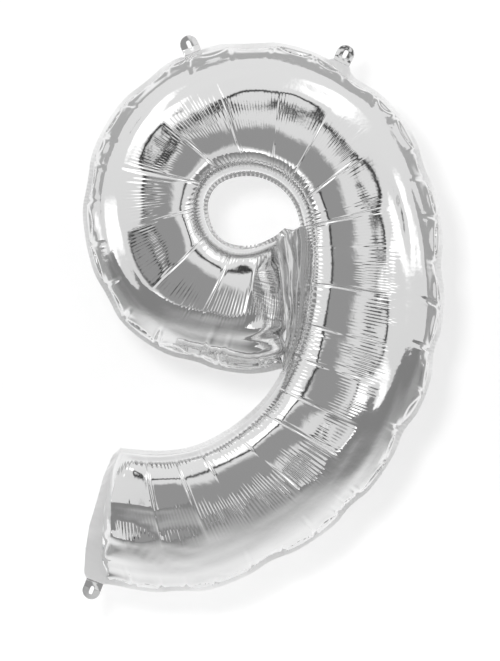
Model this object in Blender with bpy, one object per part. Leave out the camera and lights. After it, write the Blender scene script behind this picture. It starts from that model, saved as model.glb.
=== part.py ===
"""Foil number balloon, shape "9": two heat-sealed film panels, three hanging tabs and a flat
self-sealing valve. Metres, +Z up, the front of the digit faces -Y."""

import bmesh
import bpy
import numpy as np
from mathutils import Vector
from mathutils.geometry import delaunay_2d_cdt

MM = 0.001

# Seam of the inflated stroke, station by station from the loop's end round to the tail's end:
# inner seam x, z and outer seam x, z in mm, measured from the middle of the ring.
STATIONS = [
    (47, -50, 54, -243), (24, -61, 2, -250), (-4, -66, -70, -237), (-34, -60, -126, -218),
    (-55, -41, -184, -176), (-65, -15, -226, -108), (-66, 8, -245, -22), (-58, 28, -240, 54),
    (-44, 42, -207, 131), (-23, 51, -145, 199), (4, 54, -63, 238), (29, 49, 24, 249),
    (52, 37, 118, 224), (71, 18, 204, 166), (83, -5, 258, 92), (89, -32, 285, 14),
    (92, -64, 295, -57), (91, -106, 297, -129), (85, -161, 289, -205), (74, -215, 272, -279),
    (51, -272, 238, -349), (12, -320, 184, -432), (-40, -358, 105, -505), (-95, -380, 1, -562),
    (-150, -384, -98, -591), (-198, -380, -217, -577),
]
LOOP_END_BULGE = 6.0        # how far each end seam bows out of a straight line
TAIL_END_BULGE = 15.0
HALF_DEPTH = 85.0           # half thickness of the inflated stroke
LOOP_ROUNDING, TAIL_ROUNDING = 85.0, 48.0   # length over which each end closes to its seam
CREST_SKEW = 1.6            # above 1 the crest of the stroke lies nearer its inner seam
LONG_STEPS, CROSS_STEPS = 92, 14

FLANGE_OUT, FLANGE_IN = 8.0, 6.0   # width of the sealed flange outside and inside the stroke
# Edge of the wide flange at the tail's end, where the valve comes out.
TAIL_EDGE = [(-196, -373), (-209, -386), (-223, -418), (-233, -455), (-245, -495), (-251, -535),
             (-253, -569), (-222, -585)]

FILM = 0.5                  # thickness of a panel
SEAL_GAP = 0.3              # clearance between the two panels in the flange

VALVE_START, VALVE_END = (-249, -541), (-85, -515)
VALVE_WIDTH, VALVE_FILM, VALVE_GAP = 25.0, 0.3, 0.3
VALVE_CLEAR = VALVE_GAP / 2 + VALVE_FILM + 0.3     # half gap of the panels over the valve

TAB_WIDTH, TAB_LENGTH, TAB_THICK = 28.0, 29.0, 0.6
SLOT_WIDTH, SLOT_LENGTH, SLOT_FROM_ROOT = 7.0, 14.0, 14.5
HINGE_GAP = 0.8             # between flange edge and tab root; the fold line runs in its middle
# Each tab: middle of its fold line, and its direction in degrees from +X towards +Z.
TABS = {
    "tab_top_left": ((-84.0, 238.5), 113.0),
    "tab_top_right": ((146.0, 224.0), 64.0),
    "tab_bottom_left": ((-236.0, -581.0), 249.0),
}

FOIL_COLOUR = (0.90, 0.90, 0.91, 1.0)
VALVE_COLOUR = (0.86, 0.88, 0.90, 1.0)


def clear_scene():
    for obj in list(bpy.data.objects):
        bpy.data.objects.remove(obj, do_unlink=True)


def material(name, colour, metallic, roughness):
    made = bpy.data.materials.new(name)
    made.use_nodes = True
    shader = made.node_tree.nodes["Principled BSDF"]
    shader.inputs["Base Color"].default_value = colour
    shader.inputs["Metallic"].default_value = metallic
    shader.inputs["Roughness"].default_value = roughness
    return made


def spline(points, at):
    """Natural cubic spline through the points, which sit at 0, 1, 2..."""
    points = np.asarray(points, float)
    n = len(points)
    lhs, rhs = np.eye(n), np.zeros_like(points)
    for i in range(1, n - 1):
        lhs[i, i - 1:i + 2] = 1, 4, 1
        rhs[i] = 6 * (points[i - 1] - 2 * points[i] + points[i + 1])
    bend = np.linalg.solve(lhs, rhs)
    low = np.clip(np.floor(at).astype(int), 0, n - 2)
    b = (at - low)[:, None]
    a = 1 - b
    return (a * points[low] + b * points[low + 1]
            + ((a ** 3 - a) * bend[low] + (b ** 3 - b) * bend[low + 1]) / 6)


def stroke_grid():
    """Plan x, z of the stroke's grid, [step along, step across, 2], and its half depths."""
    dense = spline(STATIONS, np.linspace(0, len(STATIONS) - 1, 2001))
    middle = (dense[:, :2] + dense[:, 2:]) / 2
    length = np.concatenate([[0], np.cumsum(np.hypot(*np.diff(middle, axis=0).T))])
    # Steps are finer near both ends, where the shape closes.
    even = np.linspace(0, 1, LONG_STEPS + 1)
    eased = even - 0.085 * np.sin(2 * np.pi * even) / (2 * np.pi) * 2
    along = eased * length[-1]
    rows = np.stack([np.interp(along, length, dense[:, k]) for k in range(4)], axis=1)
    angle = np.linspace(0, np.pi, CROSS_STEPS + 1)
    across = ((1 - np.cos(angle)) / 2) ** CREST_SKEW
    plan = rows[:, None, :2] * (1 - across)[None, :, None] + rows[:, None, 2:] * across[None, :, None]

    bow = (4 * across * (1 - across))[None, :]
    for end, bulge, rest in ((0, LOOP_END_BULGE, along), (-1, TAIL_END_BULGE, length[-1] - along)):
        inner, outer = rows[end, :2], rows[end, 2:]
        side = outer - inner
        out = np.array([side[1], -side[0]]) / np.hypot(*side)
        if (out * (middle[end] - middle[500 if end == 0 else -500])).sum() < 0:
            out = -out
        fade = np.exp(-(rest / 60.0) ** 2)[:, None]
        plan += (bulge * bow * fade)[:, :, None] * out

    closing = np.minimum(along / LOOP_ROUNDING, (length[-1] - along) / TAIL_ROUNDING)
    closing = np.sqrt(1 - (1 - np.clip(closing, 0, 1)) ** 2)
    depth = HALF_DEPTH * closing[:, None] * np.sin(angle)[None, :]
    return plan, depth


def offset(line, distance):
    """The open line moved sideways; a positive distance moves it to its left."""
    run = np.gradient(line, axis=0)
    run /= np.hypot(*run.T)[:, None]
    return line + distance * np.stack([-run[:, 1], run[:, 0]], axis=1)


def inside(points, ring):
    """Which points lie in the closed ring."""
    x, z = points[:, 0][:, None], points[:, 1][:, None]
    a, b = ring, np.roll(ring, -1, axis=0)
    crosses = (a[:, 1] > z) != (b[:, 1] > z)
    with np.errstate(divide="ignore", invalid="ignore"):
        at = a[:, 0] + (z - a[:, 1]) * (b[:, 0] - a[:, 0]) / (b[:, 1] - a[:, 1])
    return (crosses & (x < at)).sum(axis=1) % 2 == 1


def straighten_for_tabs(edge):
    """The outline with a straight run where each tab folds."""
    for (x, z), degrees in TABS.values():
        out = np.array([np.cos(np.radians(degrees)), np.sin(np.radians(degrees))])
        side = np.array([-out[1], out[0]])
        root = np.array([x, z]) - out * HINGE_GAP / 2
        local = edge - root
        along, beyond = local @ side, local @ out
        hit = (np.abs(along) < TAB_WIDTH / 2 + 1.5) & (np.abs(beyond) < 20)
        first, last = np.flatnonzero(hit)[[0, -1]]
        order = np.sign(along[last + 1] - along[first - 1])
        run = [root + side * order * k * (TAB_WIDTH / 2 + 1.0) for k in (-1, -0.33, 0.33, 1)]
        edge = np.concatenate([edge[:first], run, edge[last + 1:]])
    return edge


def flare(points):
    """Extra half gap of the panels, so that the valve fits between them in the flange."""
    start, end = np.array(VALVE_START, float), np.array(VALVE_END, float)
    run = (end - start) / np.hypot(*(end - start))
    local = points - start
    beside = np.abs(local @ np.array([-run[1], run[0]]))
    along = local @ run
    near = np.clip((48 - beside) / 20, 0, 1) * np.clip((60 - along) / 20, 0, 1)
    near = near * near * (3 - 2 * near)
    return (VALVE_CLEAR - SEAL_GAP / 2) * near


def panel_surface():
    """Plan points, depths and triangles of one panel's inner face, seen from the front."""
    plan, depth = stroke_grid()
    rows, cols = depth.shape
    inner, outer = plan[:, 0], plan[:, -1]
    outside = offset(outer, FLANGE_OUT)
    if inside(outside[rows // 2][None], np.concatenate([outer, inner[::-1]]))[0]:
        outside = offset(outer, -FLANGE_OUT)
    hollow = offset(inner, FLANGE_IN)
    if inside(hollow[rows // 2][None], np.concatenate([outer, inner[::-1]]))[0]:
        hollow = offset(inner, -FLANGE_IN)

    # The ring's hole ends at the web; below the web the flange edge follows the stem's inner side.
    notch = np.array([56.5, -252.0])
    nose = np.array([[72.0, -36.0], [58.0, -33.0]])
    ring_from = np.flatnonzero((hollow[:, 0] < 42) & (np.arange(rows) < rows // 2))[0]
    ring_to = np.flatnonzero((hollow[:, 1] < -30) & (np.arange(rows) > rows // 4))[0]
    hole = np.concatenate([hollow[ring_from:ring_to], nose])
    bay_from = np.flatnonzero((hollow[:, 1] < -256) & (np.arange(rows) > rows // 3))[0]
    corner = np.array([[58.0, -246.0]])
    edge = np.concatenate([[notch], corner, outside[1:-2], np.array(TAIL_EDGE, float)[::-1],
                           hollow[bay_from:-2][::-1]])
    edge = straighten_for_tabs(edge)

    index = np.arange(rows * cols).reshape(rows, cols)
    ring = np.concatenate([index[:, 0], index[-1, 1:], index[-2::-1, -1], index[0, -2:0:-1]])
    flat = plan.reshape(-1, 2)
    seam = flat[ring]
    border = [seam, edge, hole]
    sizes = np.cumsum([0] + [len(b) for b in border])
    ends = []
    for low, high in zip(sizes[:-1], sizes[1:]):
        ends += [(i, i + 1 if i + 1 < high else low) for i in range(low, high)]
    made, _, faces, origin, _, _ = delaunay_2d_cdt(
        [Vector(p) for p in np.concatenate(border)], ends, [], 0, 1e-5)
    made = np.array([tuple(v) for v in made])
    faces = np.array([f for f in faces])
    mids = made[faces].mean(axis=1)
    keep = inside(mids, edge) & ~inside(mids, hole) & ~inside(mids, seam)
    faces = faces[keep]

    # Flange vertices that lie on the seam are the stroke's own.
    where = {}
    points, depths = list(flat), list(depth.reshape(-1))
    for i in np.unique(faces):
        from_input = [k for k in origin[i] if k < len(seam)]
        if from_input:
            where[i] = int(ring[from_input[0]])
        else:
            where[i] = len(points)
            points.append(made[i])
            depths.append(0.0)
    triangles = [[where[i] for i in face] for face in faces]
    for r in range(rows - 1):
        for c in range(cols - 1):
            a, b, d, e = index[r, c], index[r + 1, c], index[r + 1, c + 1], index[r, c + 1]
            triangles += [[a, b, d], [a, d, e]] if (r + c) % 2 else [[a, b, e], [b, d, e]]
    return np.array(points), np.array(depths), np.array(triangles)


def add_object(name, points, faces, shade_smooth, look):
    mesh = bpy.data.meshes.new(name)
    mesh.from_pydata([tuple(p) for p in points], [], [tuple(int(i) for i in f) for f in faces])
    mesh.validate()
    obj = bpy.data.objects.new(name, mesh)
    bpy.context.scene.collection.objects.link(obj)
    obj.data.materials.append(look)
    for polygon in mesh.polygons:
        polygon.use_smooth = shade_smooth
    return obj


def to_world(plan, y):
    """Plan x, z and depth y in mm to world metres about the middle of the whole balloon."""
    plan = np.asarray(plan, float) - centre
    return np.stack([plan[:, 0], np.broadcast_to(y, len(plan)), plan[:, 1]], axis=1) * MM


def make_panel(name, facing, surface, look):
    plan, depth, triangles = surface
    y = facing * (SEAL_GAP / 2 + flare(plan) + depth)
    points = to_world(plan, y)
    corners = points[triangles]
    up = np.cross(corners[:, 1] - corners[:, 0], corners[:, 2] - corners[:, 0])[:, 1] * facing
    triangles = np.where((up < 0)[:, None], triangles[:, ::-1], triangles)
    obj = add_object(name, points, triangles, True, look)
    shell = obj.modifiers.new("film", "SOLIDIFY")
    shell.thickness = FILM * MM
    shell.offset = 1.0
    shell.use_even_offset = True
    return obj


def prism(name, outline, hole, thickness, centre_y, look, axis=None):
    """A flat plate of constant thickness with an optional hole, cut square."""
    border = [np.asarray(outline, float)] + ([np.asarray(hole, float)] if hole is not None else [])
    sizes = np.cumsum([0] + [len(b) for b in border])
    ends = []
    for low, high in zip(sizes[:-1], sizes[1:]):
        ends += [(i, i + 1 if i + 1 < high else low) for i in range(low, high)]
    flat = np.concatenate(border)
    made, _, faces, _, _, _ = delaunay_2d_cdt([Vector(p) for p in flat], ends, [], 0, 1e-6)
    made = np.array([tuple(v) for v in made])
    faces = np.array(faces)
    mids = made[faces].mean(axis=1)
    keep = inside(mids, border[0])
    if hole is not None:
        keep &= ~inside(mids, border[1])
    points = to_world(made, centre_y - thickness / 2)
    obj = add_object(name, points, faces[keep], False, look)
    work = bmesh.new()
    work.from_mesh(obj.data)
    bmesh.ops.recalc_face_normals(work, faces=work.faces)
    grown = bmesh.ops.extrude_face_region(work, geom=list(work.faces))
    moved = [v for v in grown["geom"] if isinstance(v, bmesh.types.BMVert)]
    bmesh.ops.translate(work, verts=moved, vec=(0, thickness * MM, 0))
    bmesh.ops.recalc_face_normals(work, faces=work.faces)
    work.to_mesh(obj.data)
    work.free()
    if axis is not None:
        origin = Vector(to_world([axis], 0)[0])
        for vertex in obj.data.vertices:
            vertex.co -= origin
        obj.location = origin
    return obj


def tab_rings(root, degrees):
    """Outline and slot of a tab, in the plan."""
    out = np.array([np.cos(np.radians(degrees)), np.sin(np.radians(degrees))])
    side = np.array([-out[1], out[0]])
    radius = TAB_WIDTH / 2
    turn = np.linspace(0, np.pi, 17)
    low = HINGE_GAP / 2
    tip = [(low + TAB_LENGTH - radius + radius * np.sin(a), radius * np.cos(a)) for a in turn]
    shape = [(low, radius)] + tip + [(low, -radius)]
    half = SLOT_WIDTH / 2
    reach = SLOT_LENGTH / 2 - half
    slot = [(low + SLOT_FROM_ROOT + reach + half * np.cos(a), half * np.sin(a))
            for a in np.linspace(-np.pi / 2, np.pi / 2, 9)]
    slot += [(low + SLOT_FROM_ROOT - reach - half * np.cos(a), -half * np.sin(a))
             for a in np.linspace(-np.pi / 2, np.pi / 2, 9)]
    return [np.array([root + out * a + side * b for a, b in ring]) for ring in (shape, slot)]


def make_valve_film(name, facing, look):
    start, end = np.array(VALVE_START, float), np.array(VALVE_END, float)
    length = np.hypot(*(end - start))
    run = (end - start) / length
    side = np.array([-run[1], run[0]])
    half = VALVE_WIDTH / 2
    # Straight sleeve with a funnel mouth at the edge and a narrowed inner end.
    shape = [(0, half + 2), (14, half), (length - 30, half), (length, half - 4),
             (length, 4 - half), (length - 30, -half), (14, -half), (0, -half - 2)]
    placed = [start + run * a + side * b for a, b in shape]
    return prism(name, placed, None, VALVE_FILM, facing * (VALVE_GAP + VALVE_FILM) / 2, look)


clear_scene()
surface = panel_surface()
tabs = {name: tab_rings(*placing) for name, placing in TABS.items()}
everything = np.concatenate([surface[0]] + [shape for shape, _ in tabs.values()])
centre = (everything.min(axis=0) + everything.max(axis=0)) / 2

make_panel("front_foil_panel", -1, surface, material("foil_front", FOIL_COLOUR, 1.0, 0.12))
make_panel("back_foil_panel", 1, surface, material("foil_back", FOIL_COLOUR, 1.0, 0.12))
for name, (shape, slot) in tabs.items():
    prism(name, shape, slot, TAB_THICK, 0.0, material(name, FOIL_COLOUR, 1.0, 0.12),
          axis=TABS[name][0])
make_valve_film("valve_front_film", -1, material("valve_front", VALVE_COLOUR, 0.0, 0.25))
make_valve_film("valve_back_film", 1, material("valve_back", VALVE_COLOUR, 0.0, 0.25))
bpy.context.view_layer.update()
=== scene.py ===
"""Looks of the foil number balloon: two crimped panels of mirror film swollen by the gas, their
sealed flange and web, three hanging tabs and the flat valve. Metres, front towards -Y."""

import math

import bpy
import numpy as np
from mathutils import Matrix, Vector

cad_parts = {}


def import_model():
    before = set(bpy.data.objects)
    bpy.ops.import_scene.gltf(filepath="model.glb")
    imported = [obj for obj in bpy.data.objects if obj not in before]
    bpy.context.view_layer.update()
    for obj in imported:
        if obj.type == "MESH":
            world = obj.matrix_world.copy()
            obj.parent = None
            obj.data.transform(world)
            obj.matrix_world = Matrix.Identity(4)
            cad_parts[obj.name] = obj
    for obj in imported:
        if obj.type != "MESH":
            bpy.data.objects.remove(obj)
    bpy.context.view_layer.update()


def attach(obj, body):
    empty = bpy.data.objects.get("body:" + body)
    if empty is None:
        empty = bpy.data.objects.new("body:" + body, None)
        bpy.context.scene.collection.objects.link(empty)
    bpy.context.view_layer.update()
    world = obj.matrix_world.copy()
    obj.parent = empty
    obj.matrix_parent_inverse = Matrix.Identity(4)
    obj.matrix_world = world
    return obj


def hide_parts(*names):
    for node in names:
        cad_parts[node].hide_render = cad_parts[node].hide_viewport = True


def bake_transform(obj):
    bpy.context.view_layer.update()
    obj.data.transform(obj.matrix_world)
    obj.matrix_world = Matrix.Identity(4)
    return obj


MM = 0.001
SEED = 9

# ---------------------------------------------------------------- the stroke, as part.py has it
STATIONS = [
    (47, -50, 54, -243), (24, -61, 2, -250), (-4, -66, -70, -237), (-34, -60, -126, -218),
    (-55, -41, -184, -176), (-65, -15, -226, -108), (-66, 8, -245, -22), (-58, 28, -240, 54),
    (-44, 42, -207, 131), (-23, 51, -145, 199), (4, 54, -63, 238), (29, 49, 24, 249),
    (52, 37, 118, 224), (71, 18, 204, 166), (83, -5, 258, 92), (89, -32, 285, 14),
    (92, -64, 295, -57), (91, -106, 297, -129), (85, -161, 289, -205), (74, -215, 272, -279),
    (51, -272, 238, -349), (12, -320, 184, -432), (-40, -358, 105, -505), (-95, -380, 1, -562),
    (-150, -384, -98, -591), (-198, -380, -217, -577),
]
CENTRE = (24.91, -171.35)   # middle of the balloon in the stations' frame, mm
LOOP_END_BULGE, TAIL_END_BULGE = 6.0, 15.0
HALF_DEPTH = 85.0
LOOP_ROUNDING, TAIL_ROUNDING = 85.0, 48.0
CREST_SKEW = 1.6            # above 1 the crest of the stroke lies nearer its inner seam
FLANGE_OUT, FLANGE_IN = 8.0, 6.0
TAIL_EDGE = [(-196, -373), (-209, -386), (-223, -418), (-233, -455), (-245, -495), (-251, -535),
             (-253, -569), (-222, -585)]

VALVE_START, VALVE_END = (-249, -541), (-85, -515)
VALVE_WIDTH = 25.0
VALVE_FLARE = 0.75
# Each tab: middle of its fold line, direction in degrees from +X towards +Z, and how it is bent:
# slope of its lower part, where it creases, slope above that, and how much its sides curl.
TABS = {
    "tab_top_left": ((-84.0, 238.5), 113.0, (0.42, 10.5, -0.12, 1.2)),
    "tab_top_right": ((146.0, 224.0), 64.0, (0.10, 9.0, 0.24, 1.8)),
    "tab_bottom_left": ((-236.0, -581.0), 249.0, (-0.12, 12.0, 0.22, 1.5)),
}
TAB_WIDTH, TAB_LENGTH = 28.0, 29.0
SLOT_WIDTH, SLOT_LENGTH, SLOT_FROM_ROOT = 5.8, 13.0, 14.9
TAB_TUCK = 5.0              # how far a tab reaches in between the two panels

# ---------------------------------------------------------------- the film's own dimensions
SIM_LONG, SIM_CROSS = 560, 56        # grid that is relaxed
FINE_LONG, FINE_CROSS = 1400, 46     # grid that is shown, and the extra lines along its outer seam
SEAM_LINES, SEAM_ZONE = 14, 0.11
FACET_PITCH = 60.0                   # mean distance between the creases across the stroke, mm
PASSES = 420
PINCH_PITCH = 52.0                   # mean distance between crimps of the outer seam, mm
INNER_RIB_PITCH, OUTER_RIB_PITCH = 6.2, 5.4

# ---------------------------------------------------------------- the studio
# Each soft box: direction from the balloon, half width in degrees, brightness.
SOFT_BOXES = [((-0.60, -0.62, 0.60), 13, 2.0), ((0.93, -0.50, 0.20), 9, 2.0),
              ((0.50, -0.45, 0.80), 10, 1.8), ((-0.97, -0.25, -0.15), 9, 1.8),
              ((0.62, -0.70, -0.40), 8, 2.0), ((-0.05, -0.62, -0.78), 10, 2.0),
              ((-0.55, -0.60, -0.62), 8, 1.8)]
ROOM_GREY = (0.78, 0.92)             # below and overhead
CAMERA_SIDE = ((-0.22, -1.0, -0.20), 25, 0.35)      # direction, half width in degrees, grey
DARK_RING = (30.5, 37, 0.05)         # round -Y: from and to in degrees, grey
WALL_Y, FLOOR_Z, FLOOR_NEAR = 0.26, -0.56, -0.80


def spline(points, at):
    """Natural cubic spline through the points, which sit at 0, 1, 2..."""
    points = np.asarray(points, float)
    n = len(points)
    lhs, rhs = np.eye(n), np.zeros_like(points)
    for i in range(1, n - 1):
        lhs[i, i - 1:i + 2] = 1, 4, 1
        rhs[i] = 6 * (points[i - 1] - 2 * points[i] + points[i + 1])
    bend = np.linalg.solve(lhs, rhs)
    low = np.clip(np.floor(at).astype(int), 0, n - 2)
    b = (at - low)[:, None]
    a = 1 - b
    return (a * points[low] + b * points[low + 1]
            + ((a ** 3 - a) * bend[low] + (b ** 3 - b) * bend[low + 1]) / 6)


def smoothstep(x, low, high):
    x = np.clip((x - low) / (high - low), 0, 1)
    return x * x * (3 - 2 * x)


def noise_line(rng, n, cells):
    """Smooth random curve of n samples between -1 and 1 with about that many cells."""
    knots = rng.uniform(-1, 1, int(cells) + 4)
    return spline(knots[:, None], np.linspace(1, len(knots) - 2.001, n))[:, 0]


def base_grid(rows, cols):
    """The smooth stroke: x, z and depth w in mm, for even steps of film across it."""
    dense = spline(STATIONS, np.linspace(0, len(STATIONS) - 1, 4001))
    middle = dense[:, :2] * 0.5 + dense[:, 2:] * 0.5
    length = np.concatenate([[0], np.cumsum(np.hypot(*np.diff(middle, axis=0).T))])
    along = np.linspace(0, length[-1], rows)
    row = np.stack([np.interp(along, length, dense[:, k]) for k in range(4)], axis=1)

    # One profile of the film, in units of width and half depth, walked at even arc length.
    turn = np.linspace(0, np.pi, 2001)
    reach, rise = ((1 - np.cos(turn)) / 2) ** CREST_SKEW, np.sin(turn)
    walked = np.concatenate([[0], np.cumsum(np.hypot(np.diff(reach) * 205, np.diff(rise) * HALF_DEPTH))])
    even = np.linspace(0, walked[-1], cols)
    across, rise = np.interp(even, walked, reach), np.interp(even, walked, rise)
    plan = row[:, None, :2] * (1 - across)[None, :, None] + row[:, None, 2:] * across[None, :, None]

    bow = (4 * across * (1 - across))[None, :]
    rest_of = length[-1] - along
    for end, bulge, away in ((0, LOOP_END_BULGE, along), (-1, TAIL_END_BULGE, rest_of)):
        side = row[end, 2:] - row[end, :2]
        out = np.array([side[1], -side[0]]) / np.hypot(*side)
        if out @ (middle[end] - middle[500 if end == 0 else -500]) < 0:
            out = -out
        plan += (bulge * bow * np.exp(-(away / 60.0) ** 2)[:, None])[:, :, None] * out
    closing = np.clip(np.minimum(along / LOOP_ROUNDING, rest_of / TAIL_ROUNDING), 0, 1)
    closing = np.sqrt(1 - (1 - closing) ** 2)
    depth = HALF_DEPTH * closing[:, None] * rise[None, :]
    return np.concatenate([plan, depth[:, :, None]], axis=2)


def blur(field, width, axis):
    """Running mean of odd width along one axis, ends held."""
    pad = width // 2
    padded = np.concatenate([np.repeat(field.take([0], axis), pad + 1, axis), field,
                             np.repeat(field.take([-1], axis), pad, axis)], axis)
    total = np.cumsum(padded, axis)
    n = field.shape[axis]
    return (total.take(range(width, width + n), axis) - total.take(range(0, n), axis)) / width


def smooth(field, long, cross):
    for _ in range(2):
        field = blur(blur(field, long, 0), cross, 1)
    return field


def pinch_points(rng, total):
    """Distances along the outer seam, mm, where it is crimped."""
    at, found = 30.0, []
    while at < total - 20:
        found.append(at)
        at += PINCH_PITCH * rng.uniform(0.72, 1.35)
    return np.array(found)


def relax(base):
    """The gas-filled film: it keeps its lengths, is longer along the stroke than its base shape
    has room for, and so creases. Works on the front half, with depth w >= 0."""
    rng = np.random.default_rng(SEED)
    rows, cols = base.shape[:2]
    t = np.linspace(0, 1, cols)[None, :]
    seam = np.concatenate([[0], np.cumsum(np.linalg.norm(np.diff(base[:, -1], axis=0), axis=1))])
    pinches = pinch_points(rng, seam[-1])

    # Spare length along the stroke: little at the inner seam, most just inside the outer one.
    spare = 0.004 + 0.020 * smoothstep(t, 0.02, 0.35) + 0.040 * smoothstep(t, 0.5, 0.93)
    spare = spare - 0.030 * smoothstep(t, 0.95, 1.0)
    step_s = np.linalg.norm(base[1:] - base[:-1], axis=2) * (1 + spare)
    step_t = np.linalg.norm(base[:, 1:] - base[:, :-1], axis=2) * 1.004
    stretch = (1 + 0.5 * (spare[:, :-1] + spare[:, 1:]))
    diag_a = np.linalg.norm(base[1:, 1:] - base[:-1, :-1], axis=2) * (1 + (stretch - 1) * 0.5)
    diag_b = np.linalg.norm(base[1:, :-1] - base[:-1, 1:], axis=2) * (1 + (stretch - 1) * 0.5)

    x = base.copy()
    # Start from shallow crimps that run in from the pinches, and a little unevenness.
    normal = normals(x)
    crimp = np.zeros((rows, cols))
    for at in pinches:
        reach = rng.uniform(0.35, 0.95)
        lean = rng.uniform(-14, 14)
        line = np.abs(seam[:, None] - at - lean * (1 - t))
        width = 5.0 + 5.0 * (1 - t)
        crimp -= np.exp(-(line / width) ** 2) * smoothstep(t, 1 - reach, 1 - reach * 0.5) * 4.0
    rough = smooth(rng.normal(0, 1, (rows, cols)), 7, 5)
    rough *= 0.8 / rough.std()
    lift = (crimp + rough) * smoothstep(t, 0, 0.06)
    x += normal * lift[:, :, None]
    pinch_pull = sum(np.exp(-((seam - at) / 5.0) ** 2) for at in pinches) * 1.8
    side_in = base[:, 0, :2] - base[:, -1, :2]
    side_in /= np.linalg.norm(side_in, axis=1)[:, None]
    x[:, -1, :2] += side_in * pinch_pull[:, None]

    held = np.zeros((rows, cols), bool)
    held[:, 0] = held[0] = held[-1] = True
    free = (~held)[:, :, None].astype(float)
    raised = np.zeros((rows, cols))
    raised[1:-1, 1:-1] = 1      # every seam stays in the plane of the seal

    def pull(a, b, rest, mass_a, mass_b, stiff):
        gap = b - a
        size = np.sqrt((gap * gap).sum(axis=2)) + 1e-9
        fix = gap * ((size - rest) / size * stiff)[:, :, None]
        share = mass_a + mass_b + 1e-9
        a += fix * (mass_a / share)
        b -= fix * (mass_b / share)

    speed = np.zeros_like(x)
    for n in range(PASSES):
        before = x.copy()
        gas = normals(x) * (0.10 if n < PASSES * 0.8 else 0.06)
        x += (speed * 0.90 + gas) * free
        for k in (0, 1):
            pull(x[k:-1:2], x[k + 1::2], step_s[k::2], free[k:-1:2], free[k + 1::2], 0.9)
            pull(x[:, k:-1:2], x[:, k + 1::2], step_t[:, k::2], free[:, k:-1:2], free[:, k + 1::2], 0.9)
        for k in (0, 1):
            pull(x[k:-1:2, :-1], x[k + 1::2, 1:], diag_a[k::2], free[k:-1:2, :-1], free[k + 1::2, 1:], 0.5)
            pull(x[k:-1:2, 1:], x[k + 1::2, :-1], diag_b[k::2], free[k:-1:2, 1:], free[k + 1::2, :-1], 0.5)
        # Stiffness of the film against sharp folds.
        bend = np.zeros_like(x)
        off = x - base
        bend[1:-1] += off[:-2] - 2 * off[1:-1] + off[2:]
        bend[:, 1:-1] += off[:, :-2] - 2 * off[:, 1:-1] + off[:, 2:]
        x += 0.06 * bend * free
        # The broad shape stays where the seams put it.
        x -= 0.25 * smooth(x - base, 41, 13) * free
        x[:, :, 2] *= raised
        x[:, :, 2] = np.maximum(x[:, :, 2], 0)
        speed = x - before
        size = np.linalg.norm(speed, axis=2, keepdims=True)
        speed *= np.minimum(1, 1.5 / (size + 1e-9))
    return x, seam, pinches


def normals(x):
    """Unit normals of the grid, pointing out of the balloon."""
    down = np.gradient(x, axis=0)
    over = np.gradient(x, axis=1)
    n = np.cross(over, down)
    n /= np.linalg.norm(n, axis=2, keepdims=True) + 1e-9
    return n if n[:, :, 2].mean() > 0 else -n


def resample(field, rows, across):
    """The relaxed grid with so many rows, and columns at these shares of the way across."""
    def lane(data, at):
        m = data.shape[0]
        at = at * (m - 1)
        i = np.clip(np.floor(at).astype(int), 0, m - 2)
        f = (at - i).reshape((-1,) + (1,) * (data.ndim - 1))
        p0, p1, p2, p3 = (data[np.clip(i + k, 0, m - 1)] for k in (-1, 0, 1, 2))
        return p1 + 0.5 * f * (p2 - p0 + f * (2 * p0 - 5 * p1 + 4 * p2 - p3
                                              + f * (3 * (p1 - p2) + p3 - p0)))
    return lane(lane(field, np.linspace(0, 1, rows)).swapaxes(0, 1), across).swapaxes(0, 1)


def walk(line):
    """Distance from the start of a line to each of its points."""
    return np.concatenate([[0], np.cumsum(np.linalg.norm(np.diff(line, axis=0), axis=-1))])


def stops(rng, start, end, pitch, low=0.72, high=1.35):
    """Uneven distances from start to end, about pitch apart."""
    found = [start]
    while found[-1] < end:
        found.append(found[-1] + pitch * rng.uniform(low, high))
    return np.array(found)


def facets(film, across):
    """Between creases the film is taut and straight along the stroke, so its inner half is a run
    of facets that meet in narrow grooves."""
    rng = np.random.default_rng(SEED + 5)
    t = across[None, :]
    walked = walk(film[:, int(0.4 * len(across))])
    at = stops(rng, 26.0, walked[-1] - 10, FACET_PITCH)
    at = at[at < walked[-1] - 18]
    rows = np.searchsorted(walked, at)
    normal = normals(film)
    made = film.copy()
    ends = np.concatenate([[0], rows, [np.searchsorted(walked, walked[-1] - 22)]])
    zone = smoothstep(t, 0.24, 0.34) * (1 - smoothstep(t, 0.54, 0.68))
    over = np.concatenate([[0], np.cumsum(np.linalg.norm(np.diff(film[len(film) // 2], axis=0), axis=1))])
    over = (over - over[-1] * 0.40)[None, :]
    lift = rng.normal(0, 0.9, len(ends))
    lift[0] = lift[-1] = 0
    for first, last, low, high in zip(ends[:-1], ends[1:], lift[:-1], lift[1:]):
        f = np.linspace(0, 1, last - first + 1)[:, None]
        straight = film[first] * (1 - f[:, :, None]) + film[last] * f[:, :, None]
        rise = low * (1 - f) + high * f + rng.uniform(-0.4, 0.7) * 4 * f * (1 - f)
        part = slice(first, last + 1)
        keep = zone[:, :, None] * 0.9
        made[part] = film[part] * (1 - keep) + straight * keep
        lean = rng.normal(0, 0.055) * (4 * f * (1 - f)) ** 0.4 * over
        made[part] += normal[part] * ((rise + lean) * zone)[:, :, None]
    groove = np.zeros(film.shape[:2])
    for centre in at:
        near, far = rng.uniform(0.03, 0.2), rng.choice([0.42, 0.58, 0.66, 0.74]) * rng.uniform(0.9, 1.05)
        deep = rng.uniform(0.35, 1.25)
        wander = noise_line(rng, len(across), 6)[None, :] * 1.6
        away = walked[:, None] - centre - wander
        run = smoothstep(t, near, near + 0.05) * (1 - smoothstep(t, far - 0.10, far))
        groove -= run * deep * np.exp(-(away / 1.5) ** 2)
        groove += run * deep * 0.25 * np.exp(-((np.abs(away) - 3.6) / 1.5) ** 2)
    return made + normal * groove[:, :, None]


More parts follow.
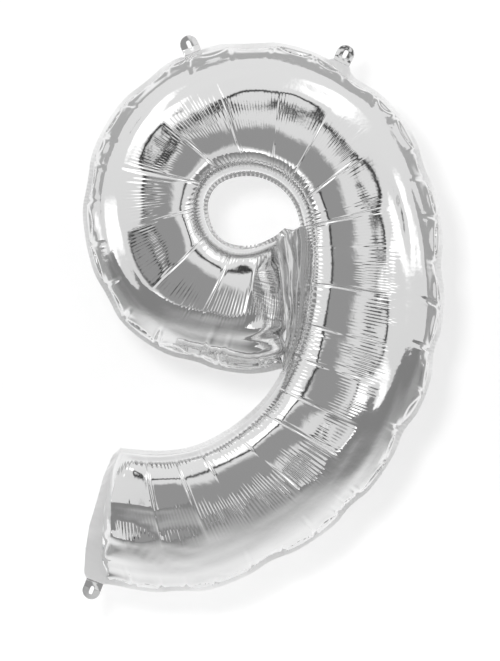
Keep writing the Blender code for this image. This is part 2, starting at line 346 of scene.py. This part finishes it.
def seam_puckers(film, across, seam, pinches):
    """Relief in mm just inside the outer seam: from crimp to crimp a small pillow, closed off by a
    curved crease, and short folds that run in from the crimps."""
    rng = np.random.default_rng(SEED + 6)
    rows = film.shape[0]
    inset = (1 - across)[None, :] * walk(film[rows // 2]).max()
    where = np.interp(np.linspace(0, 1, rows), np.linspace(0, 1, len(seam)), seam)
    bounds = np.concatenate([[where[0]], pinches, [where[-1]]])
    relief = np.zeros(film.shape[:2])
    for low, high in zip(bounds[:-1], bounds[1:]):
        f = ((where - low) / (high - low))[:, None]
        inside = (f > 0) & (f < 1)
        f = np.clip(f, 0, 1)
        deep, swell = rng.uniform(12, 27), rng.uniform(0.45, 1.25)
        arc = deep * (4 * f * (1 - f)) ** rng.uniform(0.5, 0.8)
        fade = np.clip(4 * f * (1 - f), 0, 1) ** 0.4
        relief -= inside * fade * swell * 1.6 * np.exp(-((inset - arc) / 2.4) ** 2)
        body = np.clip(inset / (arc + 1e-6), 0, 1)
        relief += inside * fade * swell * 1.6 * np.sin(np.pi * body) * (inset < arc)
        relief += inside * fade * 1.1 * np.exp(-((inset - arc - 7) / 5.0) ** 2)
    for at in pinches:
        lean, reach = rng.uniform(-0.35, 0.35), rng.uniform(24, 70)
        away = where[:, None] - at - lean * inset
        run = 1 - smoothstep(inset, reach * 0.35, reach)
        relief -= run * 1.8 * np.exp(-(away / (1.8 + inset * 0.03)) ** 2)
        relief += run * 0.7 * np.exp(-((np.abs(away) - 5.5) / 2.6) ** 2)
    return relief * smoothstep(inset, 0.0, 3.0)


def long_folds(film, across):
    """Soft ridges along the stroke in its smooth outer half, in mm."""
    rng = np.random.default_rng(SEED + 7)
    t = across[None, :]
    rows = film.shape[0]
    field = smooth(rng.normal(0, 1, (360, 90)), 27, 3)
    field += 0.6 * smooth(rng.normal(0, 1, (360, 90)), 11, 5)
    field /= field.std()
    # The ridges lean a little across the stroke.
    shear = (np.arange(360) * 0.12).astype(int) % 90
    field = np.stack([np.roll(line, k) for line, k in zip(field, shear)])
    fine = resample(smooth(field, 5, 3)[:, :, None], rows, across)[:, :, 0]
    folds = 0.95 * fine * smoothstep(t, 0.52, 0.70) * (1 - smoothstep(t, 0.93, 0.99))
    # A fan of creases spreads from the middle of the tail's end towards its outer seam.
    walked = walk(film[:, len(across) // 2])
    back = (walked[-1] - walked)[:, None]
    width = walk(film[rows - 150]).max()
    for k in range(9):
        reach = rng.uniform(150, 300)
        line = 0.44 + (0.05 + 0.056 * k + rng.uniform(-0.02, 0.02)) * (back / 230) ** 0.75
        run = smoothstep(back, 12, 45) * (1 - smoothstep(back, reach * 0.6, reach))
        wide = rng.uniform(3.0, 6.5)
        folds += rng.choice([-1, 1]) * rng.uniform(0.8, 1.5) * run * np.exp(-((t - line) * width / wide) ** 2)
    # The end wall is finely ribbed over its middle.
    ribbed = (1 - smoothstep(back, 8, 24)) * smoothstep(t, 0.28, 0.34) * (1 - smoothstep(t, 0.6, 0.68))
    return folds + 0.35 * ribbed * np.sin(2 * np.pi * t * width / 5.0)


def add_mesh(name, points, quads, look, uv=None):
    mesh = bpy.data.meshes.new(name)
    mesh.vertices.add(len(points))
    mesh.vertices.foreach_set("co", np.asarray(points, np.float32).ravel())
    quads = np.asarray(quads, np.int32)
    mesh.loops.add(quads.size)
    mesh.loops.foreach_set("vertex_index", quads.ravel())
    mesh.polygons.add(len(quads))
    mesh.polygons.foreach_set("loop_start", np.arange(0, quads.size, quads.shape[1], dtype=np.int32))
    mesh.update(calc_edges=True)
    mesh.validate()
    if uv is not None:
        layer = mesh.uv_layers.new(name="film")
        layer.data.foreach_set("uv", np.asarray(uv, np.float32)[quads.ravel()].ravel())
    mesh.polygons.foreach_set("use_smooth", np.ones(len(mesh.polygons), bool))
    obj = bpy.data.objects.new(name, mesh)
    bpy.context.scene.collection.objects.link(obj)
    mesh.materials.append(look)
    return obj


def grid_quads(rows, cols, first=0):
    index = first + np.arange(rows * cols).reshape(rows, cols)
    return np.stack([index[:-1, :-1], index[1:, :-1], index[1:, 1:], index[:-1, 1:]],
                    axis=-1).reshape(-1, 4)


def offset(line, distance):
    """The open x, z line moved sideways; a positive distance moves it to its left."""
    run = np.gradient(line, axis=0)
    run /= np.hypot(*run.T)[:, None] + 1e-9
    return line + distance * np.stack([-run[:, 1], run[:, 0]], axis=1)


def resample_line(line, n):
    line = np.asarray(line, float)
    walked = np.concatenate([[0], np.cumsum(np.hypot(*np.diff(line, axis=0).T))])
    at = np.linspace(0, walked[-1], n)
    return np.stack([np.interp(at, walked, line[:, k]) for k in range(line.shape[1])], axis=1)


def flare(plan):
    """Extra half gap of the two panels over the valve, mm."""
    start, end = np.array(VALVE_START, float), np.array(VALVE_END, float)
    run = (end - start) / np.hypot(*(end - start))
    local = plan - start
    beside = np.abs(local @ np.array([-run[1], run[0]]))
    near = np.clip((44 - beside) / 22, 0, 1) * np.clip((60 - local @ run) / 20, 0, 1)
    return VALVE_FLARE * near * near * (3 - 2 * near)


def near_tab(plan):
    """1 at the root of a tab, 0 away from it."""
    found = np.zeros(plan.shape[:-1])
    for place, _, _ in TABS.values():
        away = np.hypot(*np.moveaxis(plan - np.array(place), -1, 0))
        found = np.maximum(found, 1 - smoothstep(away, 15, 34))
    return found


def meet_tabs(edge):
    """The flange's edge runs straight along the root of each tab."""
    for place, degrees, _ in TABS.values():
        a = math.radians(degrees)
        ahead = np.array([math.cos(a), math.sin(a)])
        local = edge - np.array(place)
        beside = np.abs(local @ np.array([-ahead[1], ahead[0]]))
        short = local @ ahead
        near = (1 - smoothstep(beside, 14, 20)) * (np.abs(short) < 16)
        edge = edge + (near * (-0.4 - short))[:, None] * ahead
    return edge


def flange_strips(film, base):
    """The flat sealed parts as grids of x, z, wave and nearness to the seam: the outer flange, the
    flange of the ring's hole, and the web between loop and stem."""
    rng = np.random.default_rng(SEED + 1)
    rows = film.shape[0]
    seam_in, seam_out = film[:, 0, :2], film[:, -1, :2]
    third = rows // 3
    lowered = offset(base[:, 0, :2], 1.0)[third, 1] < base[third, 0, 1]
    sign = 1.0 if lowered else -1.0
    edge_in = offset(base[:, 0, :2], sign * FLANGE_IN)
    edge_out = offset(base[:, -1, :2], -sign * FLANGE_OUT)
    edge_out += 0.4 * (1 - near_tab(edge_out))[:, None] * (seam_out - base[:, -1, :2])

    bay = np.flatnonzero((edge_in[:, 1] < -256) & (np.arange(rows) > rows // 3))[0]
    nose = np.flatnonzero((edge_in[:, 1] < -30) & (np.arange(rows) > rows // 4))[0]
    near = [seam_out, film[-1, ::-1, :2], seam_in[bay:][::-1]]
    far = [edge_out, resample_line(TAIL_EDGE[::-1], film.shape[1]), edge_in[bay:][::-1]]
    outer = (np.concatenate(near), meet_tabs(np.concatenate(far)))
    hole = (seam_in[:nose + 1], edge_in[:nose + 1])

    # The web: from the loop's end seam across to the stem's inner seam.
    n = 260
    loop = resample_line(film[0, :, :2], n)
    stem = resample_line(seam_in[nose:bay + 1], n)
    top = resample_line([edge_in[0], (58, -33), (72, -36), edge_in[nose]], 30)
    low = resample_line([edge_out[0], (56.5, -252), edge_in[bay]], 30)
    share = np.linspace(0, 1, 30)[None, :, None]
    web = loop[:, None] * (1 - share) + stem[:, None] * share
    web = np.concatenate([top[None], web, low[None]])

    made = []
    steps = np.linspace(0, 1, 4)
    for (near, far), curl, ripple in ((outer, 2.6, 0.26), (hole, 1.0, 0.42)):
        share = steps[None, :, None]
        plan = near[:, None] * (1 - share) + far[:, None] * share
        walked = walk(far)
        wave = curl + sum(amount * np.interp(walked, np.linspace(0, walked[-1], 4001),
                                             noise_line(rng, 4001, walked[-1] / pitch))
                          for pitch, amount in ((13, 0.35), (34, 0.8), (90, 0.9)))
        drift = noise_line(rng, len(far), walked[-1] / 40)
        ribs = ripple * np.sin(2 * np.pi * walked / INNER_RIB_PITCH + 2.5 * drift)
        quiet = 1 - near_tab(plan)
        calm = quiet * (1 - flare(plan) / VALVE_FLARE)
        made.append((plan, (calm * wave[:, None] + quiet * ribs[:, None]) * steps[None, :] ** 1.2))
    rows, cols = web.shape[:2]
    u = np.linspace(0, 1, rows)[:, None]
    v = np.linspace(0, 1, cols)[None, :]
    wave = smooth(rng.normal(0, 1, (rows, cols)), 31, 3)
    wave = wave / wave.std() * 0.45 + 0.9 * np.sin(2 * np.pi * (v * 2.6 + 0.16 * np.sin(u * 7)))
    made.append((web, wave * np.sin(np.pi * v) ** 0.8))
    return made


def rib_relief(film, across):
    """Fine ribs across the stroke in two bands, in mm."""
    rng = np.random.default_rng(SEED + 2)
    rows, cols = film.shape[:2]
    t = across[None, :]
    relief = np.zeros((rows, cols))
    bands = ((-0.06, 0.31, 0.36, INNER_RIB_PITCH, 0.22), (0.45, 0.66, 0.27, OUTER_RIB_PITCH, 0.55))
    # Each band: where it starts and ends across the stroke, height, pitch, where the pitch is true.
    for low, high, size, pitch, at in bands:
        walked = walk(film[:, int(at * (cols - 1))])
        count = walked / pitch
        phase = count + 0.9 * np.interp(walked, np.linspace(0, walked[-1], 6001),
                                        noise_line(rng, 6001, walked[-1] / 31))
        jitter = noise_line(rng, rows, walked[-1] / 9)
        start = low + 0.035 * noise_line(rng, rows, walked[-1] / 6)[:, None]
        stop = high + 0.040 * noise_line(rng, rows, walked[-1] / 5)[:, None]
        strength = (0.75 + 0.45 * noise_line(rng, rows, walked[-1] / 45) + 0.3 * jitter)[:, None]
        band = smoothstep(t, start, start + 0.05) * (1 - smoothstep(t, stop - 0.05, stop))
        ridge = np.sin(2 * np.pi * phase)[:, None]
        relief += size * np.clip(strength, 0.1, 1.4) * band * ridge
    return relief * smoothstep(t, 0.0, 0.02)


def node(tree, kind, inputs=(), **settings):
    made = tree.nodes.new(kind)
    for name, value in settings.items():
        setattr(made, name, value)
    for name, value in dict(inputs).items():
        if isinstance(value, bpy.types.NodeSocket):
            tree.links.new(value, made.inputs[name])
        else:
            made.inputs[name].default_value = value
    return made


def foil_look(name, seed):
    look = bpy.data.materials.new(name)
    look.use_nodes = True
    tree = look.node_tree
    shader = tree.nodes["Principled BSDF"]
    shader.inputs["Metallic"].default_value = 1.0
    place = node(tree, "ShaderNodeTexCoord").outputs["Object"]
    haze = node(tree, "ShaderNodeTexNoise", {"Vector": place, "Scale": 14.0 + seed, "Detail": 3.0})
    rough = node(tree, "ShaderNodeMapRange", {"Value": haze.outputs["Fac"], "From Min": 0.35,
                                              "From Max": 0.7, "To Min": 0.05, "To Max": 0.11})
    # The welded margins are duller and paler than the blown film.
    seal = node(tree, "ShaderNodeAttribute", attribute_name="seal").outputs["Fac"]
    dull = node(tree, "ShaderNodeMix", {0: seal, 2: rough.outputs["Result"], 3: 0.58}, data_type="FLOAT")
    tree.links.new(dull.outputs[0], shader.inputs["Roughness"])
    tint = node(tree, "ShaderNodeMapRange", {"Value": seal, "To Min": 0.80, "To Max": 1.0}).outputs[0]
    tree.links.new(tint, shader.inputs["Base Color"])
    fine = node(tree, "ShaderNodeTexNoise", {"Vector": place, "Scale": 330.0, "Detail": 2.0})
    soft = node(tree, "ShaderNodeTexNoise", {"Vector": place, "Scale": 46.0, "Detail": 2.0})
    low = node(tree, "ShaderNodeBump", {"Height": soft.outputs["Fac"], "Strength": 0.10,
                                        "Distance": 0.004})
    high = node(tree, "ShaderNodeBump", {"Height": fine.outputs["Fac"], "Strength": 0.06,
                                         "Distance": 0.0006, "Normal": low.outputs["Normal"]})
    tree.links.new(high.outputs["Normal"], shader.inputs["Normal"])
    return look


def make_panel(name, facing, film, strips, look):
    """One panel: the swollen film and its sealed parts, mirrored for the back."""
    rows, cols = film.shape[:2]
    web_points = strips[-1][0].shape[0] * strips[-1][0].shape[1]
    points, quads, uv = [], [], []
    first = 0

    def add(plan, depth, grid):
        nonlocal first
        r, c = grid
        at = (plan.reshape(-1, 2) - CENTRE) * MM
        points.append(np.stack([at[:, 0], depth.ravel() * MM, at[:, 1]], axis=1))
        face = grid_quads(r, c, first)
        quads.append(face)
        u, v = np.meshgrid(np.linspace(0, 1, r), np.linspace(0, 1, c), indexing="ij")
        uv.append(np.stack([u.ravel(), v.ravel()], axis=1))
        first += r * c

    add(film[:, :, :2], facing * (0.2 + flare(film[:, :, :2]) + film[:, :, 2]), (rows, cols))
    for plan, wave in strips:
        add(plan, wave + facing * (0.2 + flare(plan)), plan.shape[:2])
    points, quads, uv = np.concatenate(points), np.concatenate(quads), np.concatenate(uv)
    corner = points[quads]
    out = np.cross(corner[:, 2] - corner[:, 0], corner[:, 3] - corner[:, 1])[:, 1] * facing
    quads = np.where((out < 0)[:, None], quads[:, ::-1], quads)
    panel = add_mesh(name, points, quads, look, uv)
    welded = np.ones(len(points), np.float32)
    inner_seam = 1 - smoothstep(np.linspace(0, 1, cols), 0.0, 0.01)
    welded[:rows * cols] = np.tile(inner_seam, rows)
    hole_points = strips[1][0].shape[0] * strips[1][0].shape[1]
    welded[-web_points - hole_points:] = 0.25
    panel.data.attributes.new("seal", "FLOAT", "POINT").data.foreach_set("value", welded)
    return panel


def make_tab(name, look):
    """A tab as a thin plate round its slot: rings of points from the slot's edge to the rim."""
    (x, z), degrees, (low, crease, high, curl) = TABS[name]
    rng = np.random.default_rng(SEED + len(name))
    turn = np.linspace(0, 2 * np.pi, 121)[:-1]
    way = np.stack([np.cos(turn), np.sin(turn)], axis=1)
    half, straight = SLOT_WIDTH / 2, (SLOT_LENGTH - SLOT_WIDTH) / 2
    grid = []
    radius = TAB_WIDTH / 2
    reach = np.full(len(turn), 60.0)
    for k, (a, b) in enumerate(way):
        # Rim of the tab on this ray: its sides, its root, then its round end.
        if abs(b) > 1e-6:
            reach[k] = min(reach[k], radius / abs(b))
        if a < 0:
            reach[k] = min(reach[k], (SLOT_FROM_ROOT + TAB_TUCK) / -a)
        middle = TAB_LENGTH + 0.4 - radius - SLOT_FROM_ROOT
        if reach[k] * a > middle:
            reach[k] = a * middle + math.sqrt(max(radius ** 2 - (b * middle) ** 2, 0))
    slot = np.array([[a * half + np.clip(a * 50, -straight, straight), b * half] for a, b in way])
    for share in np.linspace(0, 1, 13):
        grid.append(slot * (1 - share) + way * reach[:, None] * share)
    flat = np.array(grid)
    out, side = flat[..., 0] + SLOT_FROM_ROOT, flat[..., 1]
    grown = np.maximum(out, 0)
    bend = np.where(grown < crease, low * grown, low * crease + high * (grown - crease))
    bend = bend + curl * (side / radius) ** 2 * smoothstep(grown, 2, 14)
    bumps = sum(rng.uniform(0.04, 0.12) * np.sin(a * out + b * side + c) for a, b, c in
                zip(rng.uniform(-0.5, 0.5, 6), rng.uniform(-0.5, 0.5, 6), rng.uniform(0, 6, 6)))
    bend = (bend + bumps * smoothstep(grown, 1, 6)).ravel()
    a = math.radians(degrees)
    ahead, left = np.array([math.cos(a), math.sin(a)]), np.array([-math.sin(a), math.cos(a)])
    root = np.array([x, z]) - CENTRE
    plan = root + out.ravel()[:, None] * ahead + side.ravel()[:, None] * left
    points = np.stack([plan[:, 0], bend, plan[:, 1]], axis=1) * MM
    rings, n = flat.shape[:2]
    index = np.arange(rings * n).reshape(rings, n)
    ahead_of = np.roll(index, -1, axis=1)
    quads = np.stack([index[:-1], ahead_of[:-1], ahead_of[1:], index[1:]], axis=-1).reshape(-1, 4)
    tab = add_mesh(name + "_film", points, quads, look, flat.reshape(-1, 2) * 0.01)
    plate = tab.modifiers.new("two_films", "SOLIDIFY")
    plate.thickness, plate.offset = 0.0003, 0.0
    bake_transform(tab)
    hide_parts(name)
    return tab


def make_valve(name, facing):
    """One of the two clear films of the flat valve, faintly rippled."""
    start, end = np.array(VALVE_START, float), np.array(VALVE_END, float)
    run = (end - start) / np.hypot(*(end - start))
    side = np.array([-run[1], run[0]])
    out, over = np.meshgrid(np.linspace(0, np.hypot(*(end - start)), 120),
                            np.linspace(-VALVE_WIDTH / 2, VALVE_WIDTH / 2, 20), indexing="ij")
    plan = start + out[..., None] * run + over[..., None] * side - CENTRE
    ripple = 0.07 * np.sin(out * 0.33 + 1.3 * np.sin(over * 0.21)) + 0.05 * np.sin(over * 0.6 + out * 0.08)
    depth = facing * (0.30 + ripple)
    points = np.stack([plan[..., 0], depth, plan[..., 1]], axis=-1).reshape(-1, 3) * MM
    look = bpy.data.materials.new("clear_" + name)
    look.use_nodes = True
    shader = look.node_tree.nodes["Principled BSDF"]
    shader.inputs["Base Color"].default_value = (0.86, 0.88, 0.90, 1)
    shader.inputs["Roughness"].default_value = 0.18
    shader.inputs["Alpha"].default_value = 0.75
    film = add_mesh(name + "_sheet", points, grid_quads(*out.shape), look)
    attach(film, "balloon")
    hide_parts(name)


def make_world():
    world = bpy.data.worlds.new("studio")
    world.use_nodes = True
    bpy.context.scene.world = world
    tree = world.node_tree
    back = tree.nodes["Background"]
    way = node(tree, "ShaderNodeTexCoord").outputs["Generated"]

    def angle_from(x, y, z):
        size = math.sqrt(x * x + y * y + z * z)
        dot = node(tree, "ShaderNodeVectorMath", {0: way, 1: (x / size, y / size, z / size)},
                   operation="DOT_PRODUCT")
        turn = node(tree, "ShaderNodeMath", {0: dot.outputs["Value"]}, operation="ARCCOSINE")
        return node(tree, "ShaderNodeMath", {0: turn.outputs[0], 1: 180 / math.pi},
                    operation="MULTIPLY").outputs[0]

    def band(angle, low, high, soft=1.2):
        up = node(tree, "ShaderNodeMapRange", {"Value": angle, "From Min": low - soft,
                                               "From Max": low + soft, "To Min": 0.0, "To Max": 1.0})
        down = node(tree, "ShaderNodeMapRange", {"Value": angle, "From Min": high - soft,
                                                 "From Max": high + soft, "To Min": 1.0, "To Max": 0.0})
        return node(tree, "ShaderNodeMath", {0: up.outputs[0], 1: down.outputs[0]},
                    operation="MULTIPLY").outputs[0]

    def paint(under, mask, value):
        """Mix the flat value over the grey below where the mask is."""
        mixed = node(tree, "ShaderNodeMix", data_type="FLOAT")
        tree.links.new(mask, mixed.inputs[0])
        if isinstance(under, float):
            mixed.inputs[2].default_value = under
        else:
            tree.links.new(under, mixed.inputs[2])
        mixed.inputs[3].default_value = value
        return mixed.outputs[0]

    # A pale room, brighter overhead, with soft boxes, and the dim side that the camera is on.
    height_of = node(tree, "ShaderNodeSeparateXYZ", {"Vector": way}).outputs["Z"]
    grey = node(tree, "ShaderNodeMapRange", {"Value": height_of, "From Min": -1.0, "From Max": 1.0,
                                             "To Min": ROOM_GREY[0],
                                             "To Max": ROOM_GREY[1]}).outputs[0]
    for (x, y, z), wide, value in SOFT_BOXES:
        grey = paint(grey, band(angle_from(x, y, z), -10, wide, 5.0), value)
    aim, wide, value = CAMERA_SIDE
    grey = paint(grey, band(angle_from(*aim), -10, wide, 3.0), value)
    above = node(tree, "ShaderNodeMapRange", {"Value": height_of, "From Min": -0.30, "From Max": -0.10})
    dark = node(tree, "ShaderNodeMath", {0: band(angle_from(0.0, -1.0, 0.0), *DARK_RING[:2], 2.0),
                                         1: above.outputs[0]}, operation="MULTIPLY")
    grey = paint(grey, dark.outputs[0], DARK_RING[2])
    tree.links.new(grey, back.inputs["Color"])
    back.inputs["Strength"].default_value = 1.0


def make_stage():
    """A pale sheet that runs from the floor up behind the balloon; its colour carries painted light and
    shade, as it glows and darkens away from the balloon and towards the front.
    """
    curve = 0.12
    turn = np.linspace(0, np.pi / 2, 13)
    line = [(FLOOR_NEAR, FLOOR_Z)]
    line += [(WALL_Y - curve + curve * np.sin(a), FLOOR_Z + curve - curve * np.cos(a)) for a in turn]
    line += [(WALL_Y, 3.0)]
    wide = 3.0
    points = [(x, y, z) for y, z in line for x in (-wide, wide)]
    quads = [(2 * i, 2 * i + 1, 2 * i + 3, 2 * i + 2) for i in range(len(line) - 1)]
    look = bpy.data.materials.new("pale_paper_painted_light")
    look.use_nodes = True
    tree = look.node_tree
    shader = tree.nodes["Principled BSDF"]
    # Painted light and shade: the sheet glows, and its colour and glow fall away from the balloon and towards
    # the front.
    place = node(tree, "ShaderNodeTexCoord").outputs["Object"]
    away = node(tree, "ShaderNodeVectorMath", {0: place, 1: (0.0, WALL_Y, 0.0)}, operation="DISTANCE")
    for socket, near_value, far_value in (("Base Color", 0.70, 0.42), ("Emission Strength", 0.36, 0.05)):
        shade = node(tree, "ShaderNodeMapRange", {"Value": away.outputs["Value"], "From Min": 0.66,
                                                  "From Max": 1.15, "To Min": near_value,
                                                  "To Max": far_value}, interpolation_type="SMOOTHSTEP")
        # Painted shade: the floor darkens towards the front.
        depth = node(tree, "ShaderNodeSeparateXYZ", {"Vector": place}).outputs["Y"]
        front = node(tree, "ShaderNodeMapRange", {"Value": depth, "From Min": -0.36, "From Max": 0.06,
                                                  "To Min": 0.56, "To Max": 1.0},
                     interpolation_type="SMOOTHSTEP")
        painted_light_and_shade = node(tree, "ShaderNodeMath", {0: shade.outputs[0], 1: front.outputs[0]},
                    operation="MULTIPLY")
        tree.links.new(painted_light_and_shade.outputs[0], shader.inputs[socket])
    # Painted light: the sheet glows white, though it is no lamp.
    shader.inputs["Emission Color"].default_value = (1, 1, 1, 1)
    shader.inputs["Roughness"].default_value = 0.9
    # Seen from behind, the sheet lets the view through.
    clear = node(tree, "ShaderNodeBsdfTransparent")
    side = node(tree, "ShaderNodeNewGeometry").outputs["Backfacing"]
    mixed = node(tree, "ShaderNodeMixShader", {0: side})
    tree.links.new(shader.outputs[0], mixed.inputs[1])
    tree.links.new(clear.outputs[0], mixed.inputs[2])
    tree.links.new(mixed.outputs[0], tree.nodes["Material Output"].inputs["Surface"])
    sheet = add_mesh("backdrop", points, quads, look)


def make_light(name, place, aim, size, power):
    lamp = bpy.data.lights.new(name, "AREA")
    lamp.shape = "SQUARE"
    lamp.size = size
    lamp.energy = power
    obj = bpy.data.objects.new(name, lamp)
    obj.location = place
    obj.rotation_euler = (Vector(aim) - Vector(place)).to_track_quat("-Z", "Y").to_euler()
    bpy.context.scene.collection.objects.link(obj)
    return obj


def make_camera():
    camera = bpy.data.cameras.new("camera")
    camera.lens, camera.sensor_width = 200.0, 36.0
    obj = bpy.data.objects.new("camera", camera)
    bpy.context.scene.collection.objects.link(obj)
    view_height = 1.026                     # of the whole frame, in the plane of the seal
    obj.location = (-0.0203, -view_height * camera.lens / camera.sensor_width, -0.0204)
    obj.rotation_euler = (math.pi / 2, 0, 0)
    camera.clip_end = 50.0
    bpy.context.scene.camera = obj


def main():
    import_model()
    base = base_grid(SIM_LONG, SIM_CROSS)
    relaxed, seam, pinches = relax(base)
    across = np.concatenate([np.linspace(0, 1 - SEAM_ZONE, FINE_CROSS, endpoint=False),
                             np.linspace(1 - SEAM_ZONE, 1, SEAM_LINES)])
    fine_base = resample(base, FINE_LONG, across)
    film = resample(relaxed, FINE_LONG, across)
    strips = flange_strips(film, fine_base)
    film = facets(film, across)
    relief = (rib_relief(film, across) + seam_puckers(film, across, seam, pinches)
              + long_folds(film, across))
    film = film + normals(film) * relief[:, :, None]
    film[:, :, 2] = np.maximum(film[:, :, 2], 0)

    for name, facing, seed in (("front", -1, 0.0), ("back", 1, 3.0)):
        look = foil_look(f"foil_{name}", seed)
        panel = make_panel(f"{name}_film", facing, film, strips, look)
        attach(panel, "balloon")
        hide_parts(f"{name}_foil_panel")
    for name in TABS:
        make_tab(name, foil_look("foil_" + name, 7.0))
    make_valve("valve_front_film", -1)
    make_valve("valve_back_film", 1)

    make_world()
    make_stage()
    key = make_light("key", (-0.42, -3.7, 0.46), (0, 0, 0), 0.42, 42.0)
    key.visible_glossy = False
    make_camera()
    scene = bpy.context.scene
    scene.view_settings.view_transform = "Standard"


main()
